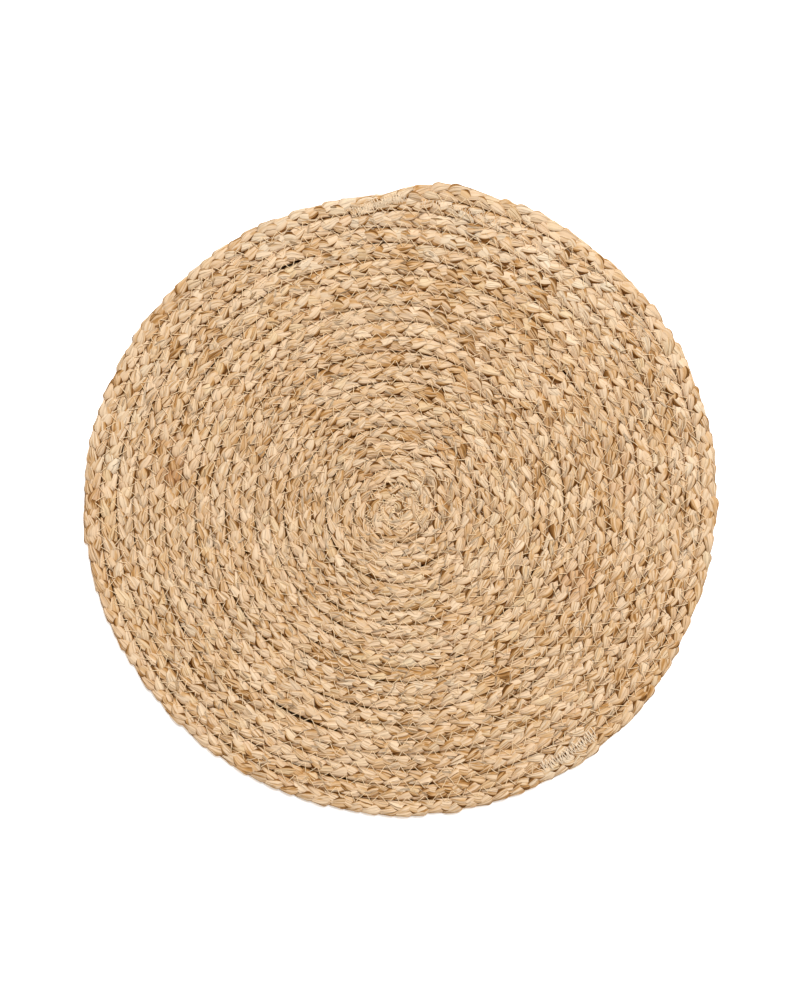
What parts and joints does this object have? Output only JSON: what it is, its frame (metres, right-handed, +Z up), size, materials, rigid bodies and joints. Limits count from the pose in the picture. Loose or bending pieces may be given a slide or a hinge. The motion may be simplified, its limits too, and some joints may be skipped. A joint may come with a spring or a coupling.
{
  "type": "round plaited placemat",
  "caption": "Round flat placemat of one long plait of dried leaf strips, coiled in a spiral and sewn turn to turn with zigzag thread; lies on a table under a place setting.",
  "frame": {"origin": "under the middle of the mat's box, on the surface that it lies on", "axes": "+Z up through the mat's thickness, +Y towards the plait's tail, +X to the right of it seen from above"},
  "size_m": [0.3802, 0.379, 0.0055],
  "materials": {
    "leaf_plait": "dry matte leaf strips with a faint sheen along the fibres",
    "sewing_thread": "pale spun sewing thread"
  },
  "bodies": {
    "root": {"coiled_plait": "leaf_plait"}
  },
  "joints": []
}
